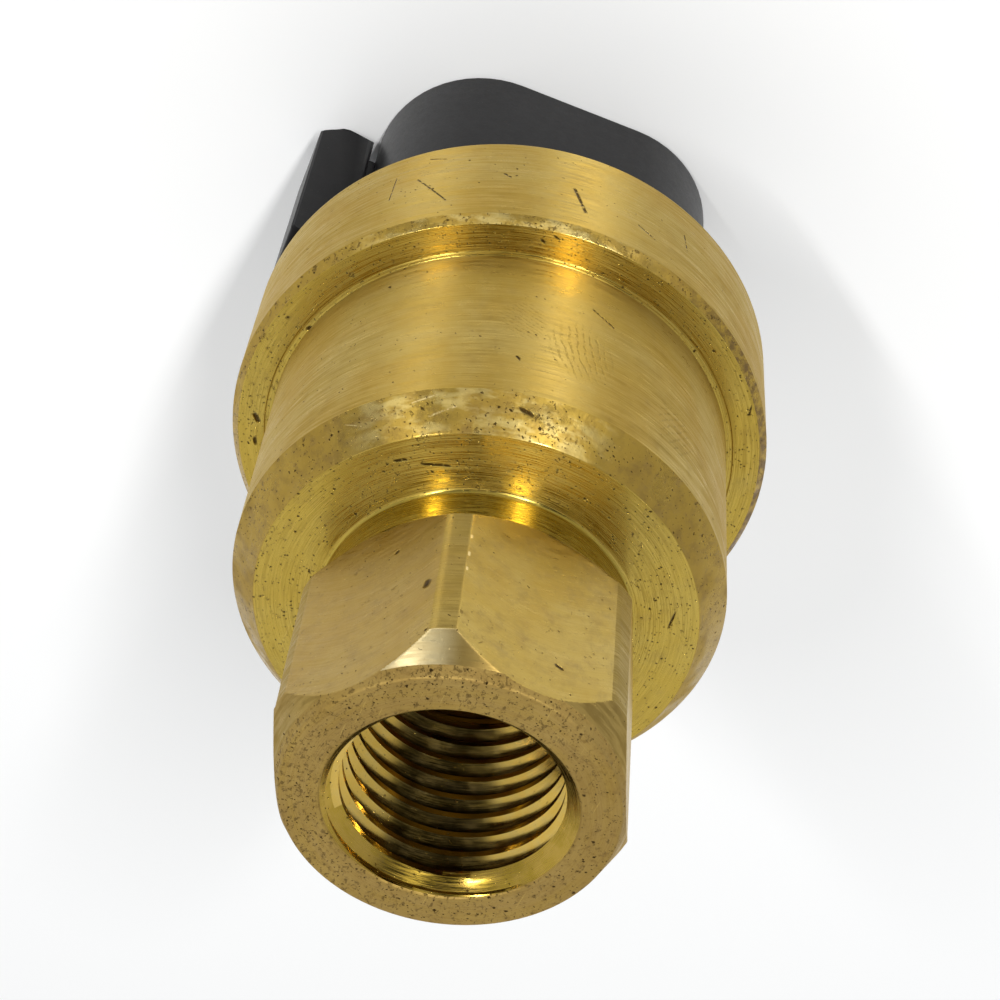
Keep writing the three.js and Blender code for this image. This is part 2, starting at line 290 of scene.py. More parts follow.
def capsule(n, u, v, a, b, w):
    """1 on a thin scratch from a to b in the (u, v) plane, falling to 0 at width w."""
    ax, ay = a
    dx, dy = b[0] - a[0], b[1] - a[1]
    q = dx * dx + dy * dy
    pu = n.math("SUBTRACT", u, ax)
    pv = n.math("SUBTRACT", v, ay)
    t = n.math("ADD", n.math("MULTIPLY", pu, dx / q), n.math("MULTIPLY", pv, dy / q), clamp=True)
    eu = n.math("SUBTRACT", pu, n.math("MULTIPLY", t, dx))
    ev = n.math("SUBTRACT", pv, n.math("MULTIPLY", t, dy))
    d = n.math("SQRT", n.math("ADD", n.math("MULTIPLY", eu, eu), n.math("MULTIPLY", ev, ev)))
    return n.ramp(d, w, w * 0.25)


def gold_mix(n, f):
    return n.mix(n.ramp(f, 0.35, 0.7), gold(BRASS, 0.92), gold(BRASS_DEEP, 0.85))


def brass_material(name, kind):
    """kind: wall (turned), neck, face (turned annulus), chamfer, edge, flat (milled), port (pitted), thread, inner."""
    n = Nodes(name)
    p = n.mm()
    x, y, z = n.sep(p)
    r = n.math("SQRT", n.math("ADD", n.math("MULTIPLY", x, x), n.math("MULTIPLY", y, y)))
    rr = n.math("MAXIMUM", r, 0.01)
    cx, cy = n.math("DIVIDE", x, rr), n.math("DIVIDE", y, rr)
    ang = n.math("ARCTAN2", y, x)
    arc = n.math("MULTIPLY", ang, r)
    along = n.math("ADD", z, n.math("MULTIPLY", r, 1.31))

    def groove(k, c, detail=2.0):
        return n.noise(n.comb(n.math("MULTIPLY", cx, c), n.math("MULTIPLY", cy, c), n.math("MULTIPLY", along, k)), 1.0, detail, 0.6)

    fine = groove(27.0 if kind == "face" else 13.0, 4.0, 2.0)
    medium = groove(4.0, 2.5, 3.0)
    band = groove(0.9, 1.2, 2.0)
    blotch = n.noise(p, 0.16, 4.0, 0.6, 0.3)
    mottle = n.noise(p, 0.9, 5.0, 0.65, 0.2)
    speck = n.noise(p, 4.5, 3.0, 0.6)

    warp = n.vmath("ADD", p, n.vmath("SCALE", n.comb(speck, mottle, n.math("SUBTRACT", 1.0, speck)), scale=0.42))
    patch = n.math("ADD", n.math("MULTIPLY", n.math("SUBTRACT", blotch, 0.5), 0.8), n.math("MULTIPLY", n.math("SUBTRACT", mottle, 0.5), 0.5))
    patch = n.math("ADD", patch, n.math("MULTIPLY", cx, 0.07))

    def pits_of(vec, scale, rmin, rmax, limit):
        v = n.voronoi(vec, scale)
        c = n.sep(v[1])
        keep = n.ramp(n.math("ADD", c[0], patch), limit, limit + 0.03)
        size = n.math("MULTIPLY_ADD", c[1], (rmax - rmin) * scale, rmin * scale)
        return n.math("MULTIPLY", n.ramp(n.math("DIVIDE", v[0], size), 1.0, 0.5), keep)

    row = {"wall": (0.97, 1.0, 1.03), "neck": (0.97, 1.05, 1.1), "face": (0.18, 0.47, 0.78), "chamfer": (0.46, 0.68, 0.88),
           "edge": (0.45, 0.58, 0.8), "flat": (0.95, 1.02, 1.05), "port": (0.30, 0.45, 0.80), "thread": (0.98, 1.05, 1.1), "sink": (0.85, 0.95, 1.1), "inner": (0.99, 1.1, 1.1)}[kind]
    long_ = n.comb(n.math("MULTIPLY", arc, 0.38), n.math("ADD", r, n.math("MULTIPLY", speck, 0.15)), z)
    pits = n.math("MAXIMUM", pits_of(warp, 4.0, 0.035, 0.075, row[0]), pits_of(warp, 1.7, 0.06, 0.13, row[1]))
    pits = n.math("MAXIMUM", pits, pits_of(long_, 0.42, 0.10, 0.20, row[2]))
    grain = n.noise(n.vmath("ADD", p, n.vmath("SCALE", n.comb(mottle, speck, mottle), scale=0.8)), 3.4, 3.0, 0.62, 0.4)
    crumb = n.ramp(n.math("ADD", grain, n.math("MULTIPLY", patch, 0.18 if kind == "port" else 0.35)), {"port": 0.565, "chamfer": 0.62, "edge": 0.57, "face": 0.645, "flat": 0.66}.get(kind, 0.72),
                   {"port": 0.66, "chamfer": 0.70, "edge": 0.66, "face": 0.71, "flat": 0.74}.get(kind, 0.8))

    def hair(rot, density, k=1.0):
        m = n.t.nodes.new("ShaderNodeMapping")
        m.inputs["Rotation"].default_value = rot
        m.inputs["Scale"].default_value = (9.0 * k, 0.42 * k, 9.0 * k)
        n.link(p, m.inputs["Vector"])
        q = n.noise(m.outputs[0], 1.0, 1.0, 0.5)
        return n.ramp(q, density, density + 0.03)

    scr = n.math("MAXIMUM", hair((0.3, 1.0, 0.6), 0.74), hair((1.3, -0.5, 1.9), 0.75, 0.8))

    marks, bright = None, None

    def join(old, new_):
        return new_ if old is None else n.math("MAXIMUM", old, new_)

    if kind == "wall":
        for a0, b0, w in (((-15.7, 24.5), (-17.9, 28.0), 0.07), ((-25.93, 25.5), (-26.75, 28.0), 0.14), ((-16.3, 22.0), (-17.4, 22.4), 0.06),
                          ((-14.1, 23.4), (-13.9, 26.2), 0.05), ((-21.4, 24.9), (-21.9, 25.4), 0.11), ((-24.5, 34.3), (-25.9, 35.2), 0.12),
                          ((-20.1, 41.6), (-20.3, 41.9), 0.12), ((-30.4, 26.8), (-31.6, 27.4), 0.09), ((-34.0, 24.2), (-34.3, 26.0), 0.08)):
            marks = join(marks, n.math("MULTIPLY", capsule(n, arc, z, a0, b0, w), n.ramp(speck, 0.36, 0.5)))
        # ripples left by handling: two patches of short slanting lines
        def ripple(cu, cv, ru, rv, slope, bend, pitch):
            du = n.math("SUBTRACT", arc, cu)
            dv = n.math("SUBTRACT", z, cv)
            e = n.math("ADD", n.math("MULTIPLY", n.math("MULTIPLY", du, du), 1 / ru ** 2), n.math("MULTIPLY", n.math("MULTIPLY", dv, dv), 1 / rv ** 2))
            m = n.math("MULTIPLY", n.ramp(e, 1.0, 0.3), n.math("LESS_THAN", r, 15.3))
            w = n.math("ADD", du, n.math("ADD", n.math("MULTIPLY", dv, slope), n.math("MULTIPLY", n.math("MULTIPLY", dv, dv), bend)))
            w = n.math("ADD", w, n.math("MULTIPLY", mottle, 0.7))
            return n.math("MULTIPLY", n.math("MULTIPLY", n.ramp(n.math("SINE", n.math("MULTIPLY", w, TAU / pitch)), 0.2, 1.0), m), n.ramp(speck, 0.4, 0.6))

        rip = n.math("MAXIMUM", ripple(-23.9, 39.3, 2.6, 3.4, 0.22, 0.05, 0.46), ripple(-20.2, 37.6, 1.7, 2.4, 1.3, 0.0, 0.5))
        rip = n.math("MAXIMUM", rip, ripple(-31.0, 41.0, 2.0, 2.5, -0.8, 0.05, 0.55))
    elif kind == "face":
        for a0, b0, w in (((4.1, 15.95), (3.75, 16.15), 0.24), ((-4.25, 15.1), (-4.3, 15.1), 0.24), ((-10.0, 12.1), (-10.5, 12.05), 0.16),
                          ((-10.9, 11.5), (-12.0, 11.2), 0.15), ((-32.0, 11.7), (-32.05, 11.8), 0.24), ((-22.6, 16.4), (-22.7, 16.5), 0.16),
                          ((-24.0, 16.9), (-24.05, 16.9), 0.14), ((-42.6, 16.9), (-42.7, 17.0), 0.15)):
            marks = join(marks, n.math("MULTIPLY", capsule(n, arc, r, a0, b0, w), n.ramp(speck, 0.3, 0.45)))
    elif kind == "chamfer":
        for a0, b0, w in (((-14.3, 46.5), (-16.2, 46.1), 0.055), ((-13.9, 45.75), (-15.6, 45.5), 0.045), ((-9.6, 45.8), (-10.4, 46.2), 0.04)):
            bright = join(bright, n.math("MULTIPLY", capsule(n, arc, z, a0, b0, w), n.ramp(speck, 0.38, 0.6)))
        marks = n.math("MULTIPLY", capsule(n, arc, z, (-20.0, 46.0), (-20.4, 46.1), 0.2), n.ramp(speck, 0.3, 0.45))
    elif kind == "flat":
        h = math.radians(23.4 - 60)
        s = n.math("ADD", n.math("MULTIPLY", x, -math.sin(h)), n.math("MULTIPLY", y, math.cos(h)))
        side0 = n.math("GREATER_THAN", n.math("ADD", n.math("MULTIPLY", x, math.cos(h)), n.math("MULTIPLY", y, math.sin(h))), 9.3)
        marks = n.math("MULTIPLY", n.math("MAXIMUM", capsule(n, s, z, (-4.0, 56.75), (-3.95, 56.95), 0.3), capsule(n, s, z, (-1.5, 52.6), (-1.45, 52.7), 0.16)), side0)
        h = math.radians(23.4 - 120)
        s = n.math("ADD", n.math("MULTIPLY", x, -math.sin(h)), n.math("MULTIPLY", y, math.cos(h)))
        side1 = n.math("GREATER_THAN", n.math("ADD", n.math("MULTIPLY", x, math.cos(h)), n.math("MULTIPLY", y, math.sin(h))), 9.3)
        marks = n.math("MAXIMUM", marks, n.math("MULTIPLY", capsule(n, s, z, (-1.2, 60.3), (-1.5, 60.4), 0.16), side1))
        for a0, b0, w in (((4.56, 53.0), (4.56, 53.15), 0.12), ((4.58, 54.5), (4.58, 54.7), 0.13), ((4.58, 55.8), (4.57, 55.95), 0.1)):
            bright = join(bright, n.math("MULTIPLY", capsule(n, s, z, a0, b0, w), side1))

    tone = n.mix(n.ramp(blotch, 0.35, 0.68), gold(BRASS), gold(BRASS_PALE))
    if kind == "face":
        tone = n.mix(n.ramp(blotch, 0.3, 0.7), gold(BRASS, 1.08), gold(BRASS_PALE, 1.05))
        tone = n.mix(0.35, tone, (0.47, 0.365, 0.052))
    if kind == "neck":
        tone = n.mix(0.6, tone, (0.45, 0.35, 0.05))
    if kind == "port":
        tone = n.mix(n.ramp(blotch, 0.3, 0.7), (0.33, 0.218, 0.062), (0.40, 0.275, 0.085))
        tone = n.mix(n.math("MULTIPLY", n.ramp(n.noise(p, 2.2, 4.0, 0.7), 0.5, 0.72), 0.55), tone, (0.18, 0.105, 0.03))
    if kind == "flat":
        tone = n.mix(n.math("MULTIPLY", n.ramp(n.noise(p, 0.7, 5.0, 0.7), 0.45, 0.72), 0.5), tone, (0.27, 0.185, 0.065))
        # painted shade: flat side0 is painted much darker and flat side1 a little darker, by the way each flat faces
        tone = n.mix(n.math("MULTIPLY", side0, 0.5), tone, (0.30, 0.20, 0.072))
        tone = n.mix(n.math("MULTIPLY", side1, 0.12), tone, (0.34, 0.26, 0.08))
    if kind == "sink":
        tone = gold_mix(n, mottle)
    if kind == "wall":
        # the hexagon's turned corners are darker; its top cone is painted darker as shade, with one painted highlight
        # patch in a narrow sector round the cone
        corner = n.math("MULTIPLY", n.math("GREATER_THAN", z, 50.6), n.math("LESS_THAN", z, 60.95))
        cone = n.math("GREATER_THAN", z, 60.95)
        lit = n.ramp(n.math("ABSOLUTE", n.math("ADD", ang, 0.98)), 0.30, 0.14)
        tone = n.mix(n.math("MULTIPLY", corner, 0.5), tone, (0.30, 0.21, 0.06))
        # painted shade over the whole top cone, then the painted highlight patch in one sector
        tone = n.mix(n.math("MULTIPLY", cone, 0.45), tone, (0.28, 0.18, 0.07))
        tone = n.mix(n.math("MULTIPLY", n.math("MULTIPLY", cone, lit), 0.85), tone, (0.80, 0.66, 0.36))
    if kind == "chamfer":
        tone = n.mix(n.math("MULTIPLY", n.ramp(n.noise(p, 1.1, 4.0, 0.7), 0.42, 0.7), 0.6), gold(BRASS, 0.9), (0.25, 0.16, 0.05))
    if kind in ("chamfer", "edge"):
        # painted reflection: pale wavy streaks in one angular sector of the chamfer and edge, where bright reflections
        # run
        reflection_sector = n.ramp(n.math("ABSOLUTE", n.math("ADD", ang, 1.22)), 0.62, 0.4)
        painted_reflection_streaks = n.ramp(n.noise(n.comb(n.math("MULTIPLY", arc, 0.5), n.math("MULTIPLY", z, 1.6), mottle), 1.0, 3.0, 0.6), 0.45, 0.65)
    if kind == "edge":
        # the edge is browner towards -x and less so elsewhere
        brown_toward_minus_x = n.ramp(n.math("ADD", cx, n.math("MULTIPLY", mottle, 0.3)), 0.0, -0.55, 0.2, 1.0)
        tone = n.mix(n.math("MULTIPLY", n.ramp(n.noise(p, 1.4, 4.0, 0.7), 0.35, 0.6), brown_toward_minus_x), gold(BRASS, 0.95), (0.17, 0.105, 0.045))
    if kind in ("chamfer", "edge"):
        # lay the painted reflection streaks into the colour
        tone = n.mix(n.math("MULTIPLY", n.math("MULTIPLY", reflection_sector, painted_reflection_streaks), 0.55), tone, (0.74, 0.60, 0.24))
    if kind == "thread":
        tone = n.mix(n.ramp(mottle, 0.35, 0.7), gold(BRASS, 1.3), gold(BRASS_PALE, 1.25))
        # painted shade: the thread is painted near black down one side of the bore, where its flanks reflect the dark
        # front of the room
        painted_dark_reflection = n.ramp(n.math("ABSOLUTE", n.math("SUBTRACT", ang, 1.77)), 0.55, 0.30)
        tone = n.mix(n.math("MULTIPLY", painted_dark_reflection, 0.8), tone, (0.045, 0.030, 0.014))
    tone = n.mix(n.math("MULTIPLY", n.ramp(mottle, 0.5, 0.75), {"port": 0.4, "flat": 0.35, "chamfer": 0.5}.get(kind, 0.22)), tone, gold(BRASS_PINK, 0.75))
    tone = n.mix(n.math("MULTIPLY", n.ramp(band, 0.35, 0.7), 0.18), tone, gold(BRASS_DEEP, 1.05))
    tone = n.mix(n.math("MULTIPLY", scr, 0.3), tone, gold(BRASS_PALE, 1.3))
    if kind == "wall":
        tone = n.mix(n.math("MULTIPLY", rip, 0.4), tone, gold(BRASS_DEEP, 0.5))
    if bright is not None:
        tone = n.mix(n.math("MULTIPLY", bright, 0.85), tone, (0.86, 0.68, 0.32))
    if marks is not None:
        halo = n.math("MULTIPLY", marks, 0.95)
        tone = n.mix(halo, tone, PIT)
    tone = n.mix(n.math("MULTIPLY", crumb, {"port": 0.6, "edge": 0.7, "chamfer": 0.7, "face": 0.75, "flat": 0.45}.get(kind, 0.5)), tone, (0.085, 0.048, 0.014))
    colour = n.mix(n.math("MULTIPLY", pits, 0.9), tone, PIT)

    lo, hi = {"wall": (0.30, 0.56), "neck": (0.16, 0.34), "face": (0.16, 0.48), "chamfer": (0.26, 0.52), "edge": (0.26, 0.50), "flat": (0.32, 0.46),
              "port": (0.56, 0.70), "thread": (0.13, 0.21), "sink": (0.16, 0.30), "inner": (0.3, 0.4)}[kind]
    rough = n.ramp(fine, 0.40, 0.60, lo, hi)
    rough = n.math("ADD", rough, n.math("MULTIPLY", n.math("SUBTRACT", mottle, 0.5), 0.22))
    rough = n.math("ADD", rough, n.math("MULTIPLY", n.math("SUBTRACT", medium, 0.5), {"face": 0.06, "neck": 0.06, "thread": 0.04}.get(kind, 0.18)))
    rough = n.math("ADD", rough, n.math("MULTIPLY", pits, 0.3), clamp=True)

    height = n.math("MULTIPLY", fine, {"port": 0.0006, "flat": 0.0004, "face": 0.0005, "neck": 0.0004, "thread": 0.0002}.get(kind, 0.0012))
    height = n.math("ADD", height, n.math("MULTIPLY", medium, {"port": 0.001, "flat": 0.0005, "thread": 0.0003, "face": 0.0006, "neck": 0.0006}.get(kind, 0.0028)))
    height = n.math("ADD", height, n.math("MULTIPLY", mottle, {"port": 0.045, "flat": 0.014, "chamfer": 0.022, "edge": 0.05, "thread": 0.002}.get(kind, 0.006)))
    height = n.math("ADD", height, n.math("MULTIPLY", speck, {"port": 0.02, "face": 0.002, "flat": 0.003, "edge": 0.02, "chamfer": 0.005, "thread": 0.0006}.get(kind, 0.0012)))
    height = n.math("SUBTRACT", height, n.math("MULTIPLY", pits, 0.06))
    height = n.math("SUBTRACT", height, n.math("MULTIPLY", crumb, {"port": 0.03, "edge": 0.03, "chamfer": 0.02}.get(kind, 0.012)))
    height = n.math("SUBTRACT", height, n.math("MULTIPLY", scr, 0.005))
    if marks is not None:
        height = n.math("SUBTRACT", height, n.math("MULTIPLY", marks, 0.12))
    if kind == "wall":
        height = n.math("SUBTRACT", height, n.math("MULTIPLY", rip, 0.008))
    if kind == "flat":
        # slanting mill marks, in the plane of each flat
        turn = n.math("DIVIDE", n.math("SUBTRACT", ang, TURN - math.pi / 6 - TAU), math.pi / 3)
        across = n.math("MULTIPLY", n.math("SUBTRACT", n.math("FRACT", turn), 0.5), 10.0)
        m = n.comb(n.math("MULTIPLY", n.math("ADD", across, n.math("MULTIPLY", z, 0.42)), 0.35),
                   n.math("MULTIPLY", n.math("SUBTRACT", z, n.math("MULTIPLY", across, 0.42)), 6.0), n.math("MULTIPLY", n.math("FLOOR", turn), 7.3))
        mill = n.noise(m, 1.0, 3.0, 0.6)
        height = n.math("ADD", height, n.math("MULTIPLY", mill, 0.007))
        rough = n.math("ADD", rough, n.math("MULTIPLY", n.math("SUBTRACT", mill, 0.5), 0.25), clamp=True)
    nrm = n.bump(height, 0.001, 1.0)

    n.link(colour, n.b.inputs["Base Color"])
    n.link(rough, n.b.inputs["Roughness"])
    n.link(nrm, n.b.inputs["Normal"])
    n.b.inputs["Metallic"].default_value = 1.0
    if kind != "flat" and kind != "port":
        n.b.inputs["Anisotropic"].default_value = {"wall": 0.97, "neck": 0.85, "face": 0.85, "chamfer": 0.8, "edge": 0.6, "thread": 0.3, "sink": 0.6, "inner": 0.5}[kind]
        n.b.inputs["Anisotropic Rotation"].default_value = 0.25
        tg = n.t.nodes.new("ShaderNodeTangent")
        tg.direction_type = "RADIAL"
        tg.axis = "Z"
        n.link(tg.outputs[0], n.b.inputs["Tangent"])
    return n.mat


def metal(name, colour, rough=0.3, aniso=0.6, dark=0.7, grain=9.0, tangent=True):
    n = Nodes(name)
    p = n.mm()
    x, y, z = n.sep(p)
    r = n.math("MAXIMUM", n.math("SQRT", n.math("ADD", n.math("MULTIPLY", x, x), n.math("MULTIPLY", y, y))), 0.01)
    cx, cy = n.math("DIVIDE", x, r), n.math("DIVIDE", y, r)
    along = n.math("ADD", z, n.math("MULTIPLY", r, 1.31))
    fine = n.noise(n.comb(n.math("MULTIPLY", cx, 4.0), n.math("MULTIPLY", cy, 4.0), n.math("MULTIPLY", along, grain)), 1.0, 3.0, 0.6)
    blotch = n.noise(p, 0.5, 4.0, 0.6, 0.2)
    tone = n.mix(n.ramp(blotch, 0.35, 0.7), colour, gold(colour, dark))
    tone = n.mix(n.math("MULTIPLY", n.ramp(fine, 0.45, 0.75), 0.25), tone, gold(colour, dark * 0.8))
    n.link(tone, n.b.inputs["Base Color"])
    n.link(n.math("ADD", rough, n.math("MULTIPLY", n.math("SUBTRACT", fine, 0.5), 0.2), clamp=True), n.b.inputs["Roughness"])
    n.link(n.bump(n.math("ADD", n.math("MULTIPLY", fine, 0.0015), n.math("MULTIPLY", blotch, 0.004)), 0.001), n.b.inputs["Normal"])
    n.b.inputs["Metallic"].default_value = 1.0
    if tangent:
        n.b.inputs["Anisotropic"].default_value = aniso
        tg = n.t.nodes.new("ShaderNodeTangent")
        tg.direction_type = "RADIAL"
        tg.axis = "Z"
        n.link(tg.outputs[0], n.b.inputs["Tangent"])
    return n.mat


def plastic(name, colour, rough=0.5, grain=7.0, bump=0.006, spec=0.5, pale=1.5):
    n = Nodes(name)
    p = n.mm()
    g = n.noise(p, grain, 3.0, 0.6)
    b = n.noise(p, 0.35, 4.0, 0.6)
    f = n.noise(p, 1.6, 4.0, 0.6)
    m = n.t.nodes.new("ShaderNodeMapping")
    m.inputs["Rotation"].default_value = (0.4, 0.9, 0.3)
    m.inputs["Scale"].default_value = (5.0, 0.3, 5.0)
    n.link(p, m.inputs["Vector"])
    scr = n.ramp(n.noise(m.outputs[0], 1.0, 1.5, 0.5), 0.73, 0.76)
    tone = n.mix(n.ramp(b, 0.35, 0.7), colour, gold(colour, pale))
    tone = n.mix(n.math("MULTIPLY", scr, 0.4), tone, gold(colour, 3.0))
    n.link(tone, n.b.inputs["Base Color"])
    n.link(n.math("ADD", rough, n.math("ADD", n.math("MULTIPLY", n.math("SUBTRACT", g, 0.5), 0.15), n.math("MULTIPLY", n.math("SUBTRACT", f, 0.5), 0.12)), clamp=True), n.b.inputs["Roughness"])
    h = n.math("ADD", n.math("MULTIPLY", g, bump), n.math("MULTIPLY", f, bump * 1.5))
    h = n.math("SUBTRACT", h, n.math("MULTIPLY", scr, bump))
    n.link(n.bump(h, 0.001), n.b.inputs["Normal"])
    n.b.inputs["Specular IOR Level"].default_value = spec
    return n.mat


M_WALL = brass_material("brass_turned", "wall")
M_FACE = brass_material("brass_faced", "face")
M_FLAT = brass_material("brass_milled", "flat")
M_PORT = brass_material("brass_port_face", "port")
M_THREAD = brass_material("brass_thread", "thread")
M_INNER = brass_material("brass_inner", "inner")
M_CHAMFER = brass_material("brass_chamfer", "chamfer")
M_EDGE = brass_material("brass_edge", "edge")
M_NECK = brass_material("brass_neck", "neck")
M_SINK = brass_material("brass_countersink", "sink")
M_STEEL = metal("stainless", (0.56, 0.56, 0.55))
M_SPRING = metal("spring_steel", (0.42, 0.43, 0.44), rough=0.28, tangent=False)
M_TIN = metal("tinned", (0.72, 0.70, 0.64), rough=0.35, tangent=False, dark=0.8)
M_SILVER = metal("silver", (0.86, 0.84, 0.8), rough=0.18, tangent=False, dark=0.85)
M_BRONZE = metal("blade_bronze", (0.72, 0.42, 0.2), rough=0.28, tangent=False, dark=0.8)
M_BLACK = plastic("connector_black", (0.0045, 0.0041, 0.0044), rough=0.36, bump=0.003, spec=0.11)
M_CARRIER = plastic("carrier_brown", (0.05, 0.042, 0.032), rough=0.5, bump=0.004)
M_RUBBER = plastic("seal_rubber", (0.012, 0.012, 0.012), rough=0.65, bump=0.004, spec=0.35)
M_CERAMIC = plastic("pin_ceramic", (0.78, 0.74, 0.64), rough=0.3, bump=0.002, pale=0.9)
M_POTTING = plastic("potting", (0.02, 0.022, 0.034), rough=0.25, bump=0.01, grain=1.2)

# ------------------------------------------------------------------ brass body


def build_body():
    V, F, G = [], [], []

    def add(verts, faces, mat):
        base = len(V)
        V.extend(verts)
        F.extend(tuple(i + base for i in f) for f in faces)
        G.extend([mat] * len(faces) if isinstance(mat, int) else mat)

    seg = 360
    # chamber, bore, lip and outside up to the neck: [r, z, corner radius, material of the stretch that starts here]
    pts = [
        (1.5, 45.3, 0, 5), (1.5, 42.5, 0.1, 5), (9.0, 42.5, 0.2, 5), (9.0, 41.0, 0.1, 5), (10.0, 41.0, 0.05, 5),
        (10.0, 41.9, 0.1, 5), (11.6, 41.9, 0.1, 5), (11.6, 41.0, 0.05, 5), (12.6, 41.0, 0.1, 5), (12.6, 27.7, 0.1, 5),
        (15.6, 27.7, 0.2, 5), (15.6, 21.5, 0.2, 5), (14.2, 21.5, 0.15, 0), (14.2, 20.5, 0.25, 1), (17.75, 20.5, 0.5, 0),
        (17.75, 29.9, 0.14, 7), (17.27, 30.5, 0.1, 1), (15.55, 30.5, 0.05, 1), (15.50, 30.44, 0.04, 1), (15.34, 30.44, 0.04, 1),
        (15.27, 30.5, 0.04, 1), (15.06, 30.52, 0.14, 0), (15.03, 45.2, 0.12, 6), (13.4, 47.4, 0.15, 1), (9.37, 47.4, 0.32, 8),
        (9.37, 49.72, 0.05, 0), (9.45, 49.8, 0, 0),
    ]
    prof = rounded([q[:3] for q in pts])
    mats = []
    marks = [q[:2] for q in pts]
    for a, b in zip(prof, prof[1:]):
        mx, mz = (a[0] + b[0]) / 2, (a[1] + b[1]) / 2
        best, bi = 1e9, 0
        for i in range(len(marks) - 1):
            p0, p1 = Vector(marks[i]), Vector(marks[i + 1])
            d = p1 - p0
            t = max(0.0, min(1.0, (Vector((mx, mz)) - p0).dot(d) / max(d.length_squared, 1e-9)))
            dist = (p0 + d * t - Vector((mx, mz))).length
            if dist < best:
                best, bi = dist, i
        mats.append(pts[bi][3])
    v, f = revolve(prof, seg)
    add(v, f, [m for m in mats for _ in range(seg)])

    # wrench hexagon: a turned form cut by six flats, each edge slightly rounded
    hexseg = 720
    hp = rounded([(9.45, 49.8, 0), (10.58, 51.1, 0.12), (10.58, 61.0, 0.12), (9.3, 63.4, 0.35), (9.0, 63.4, 0)], steps=5)
    fine = [hp[0]]
    for a, b in zip(hp, hp[1:]):
        length = math.hypot(b[0] - a[0], b[1] - a[1])
        n = 1 if abs(a[0] - b[0]) < 1e-6 else max(1, int(length / 0.06))
        for k in range(1, n + 1):
            fine.append((a[0] + (b[0] - a[0]) * k / n, a[1] + (b[1] - a[1]) * k / n))
    verts = []
    for rp, z in fine:
        for i in range(hexseg):
            a = TAU * i / hexseg
            d = (a - TURN + math.pi / 6) % (math.pi / 3) - math.pi / 6
            rf = 9.5 / math.cos(d)
            k = 0.24 if d < 0 and z < 61.0 else 0.05
            h = max(k - abs(rp - rf), 0.0) / k
            rr = min(rp, rf) - h * h * k * 0.25
            verts.append((rr * math.cos(a), rr * math.sin(a), z))
    add(verts, grid(None, len(fine), hexseg), 2)
    # which parts of the hexagon are turned rather than milled
    start = len(G) - (len(fine) - 1) * hexseg
    for j in range(len(fine) - 1):
        for i in range(hexseg):
            a = TAU * (i + 0.5) / hexseg
            d = (a - TURN + math.pi / 6) % (math.pi / 3) - math.pi / 6
            rp = (fine[j][0] + fine[j + 1][0]) / 2
            zz = (fine[j][1] + fine[j + 1][1]) / 2
            if 9.5 / math.cos(d) > rp:
                G[start + j * hexseg + i] = 3 if zz > 62.75 else 0
    # port face and the countersink's edge
    face = rounded([(9.0, 63.4, 0), (MOUTH_R, 63.4, 0.06), (MOUTH_R - 0.1, 63.3, 0)], steps=3)
    v, f = revolve(face, 360)
    add(v, f, 3)

    # helical thread with its countersunk mouth: rows follow the helix, so every edge is a row
    crest, root = PITCH / 4, PITCH / 8
    flank = (PITCH - crest - root) / 2
    phase = [(0.0, 0.0), (crest, 0.0), (crest + flank * 0.5, 0.5), (crest + flank, 1.0), (crest + flank + root, 1.0), (PITCH - flank * 0.5, 0.5)]
    np_ = len(phase)
    ts = 180
    z0 = DRILL_Z - PITCH - 0.2
    turns = int((H - z0) / PITCH) + 2
    verts = []
    for j in range(turns * np_ + 1):
        dz, depth = phase[j % np_]
        zb = z0 + (j // np_) * PITCH + dz
        for i in range(ts):
            z = zb + PITCH * i / ts
            fade = max(0.0, min(1.0, (z - (THREAD_END - 0.3)) / 0.9))
            r = MINOR + (MAJOR - MINOR) * depth * fade
            cone = MINOR + (z - (H - (MOUTH_R - MINOR)))
            if cone > r:
                r = cone
            a = TAU * i / ts
            verts.append((r * math.cos(a), r * math.sin(a), z))
    faces = []
    rows = turns * np_ + 1
    for j in range(rows - 1):
        for i in range(ts):
            if i + 1 < ts:
                faces.append((j * ts + i, (j + 1) * ts + i, (j + 1) * ts + i + 1, j * ts + i + 1))
            elif j + 1 + np_ < rows:
                faces.append((j * ts + i, (j + 1) * ts + i, (j + 1 + np_) * ts, (j + np_) * ts))
    bm = bmesh.new()
    bv = [bm.verts.new(c) for c in verts]
    for q in faces:
        bm.faces.new([bv[i] for i in q])
    bmesh.ops.bisect_plane(bm, geom=bm.verts[:] + bm.edges[:] + bm.faces[:], plane_co=(0, 0, H - 0.09), plane_no=(0, 0, 1), clear_outer=True)
    bmesh.ops.bisect_plane(bm, geom=bm.verts[:] + bm.edges[:] + bm.faces[:], plane_co=(0, 0, DRILL_Z), plane_no=(0, 0, -1), clear_outer=True)
    bm.verts.index_update()
    tv = [tuple(q.co) for q in bm.verts]
    tf = [tuple(q.index for q in fc.verts) for fc in bm.faces]
    tm = [4 if fc.calc_center_median().z < H - (MOUTH_R - MINOR) - 0.1 else 9 for fc in bm.faces]
    bm.free()
    add(tv, tf, tm)
    # drilled end
    v, f = revolve(rounded([(MINOR, DRILL_Z, 0), (1.5, 45.6, 0.05), (1.5, 45.3, 0)]), 180)
    add(v, f, 5)

    ob = new_mesh("body_turned", V, F, mats=[M_WALL, M_FACE, M_FLAT, M_PORT, M_THREAD, M_INNER, M_CHAMFER, M_EDGE, M_NECK, M_SINK], face_mats=G)
    bm = bmesh.new()
    bm.from_mesh(ob.data)
    bmesh.ops.remove_doubles(bm, verts=bm.verts, dist=2e-7)
    bmesh.ops.recalc_face_normals(bm, faces=bm.faces)
    bm.to_mesh(ob.data)
    bm.free()
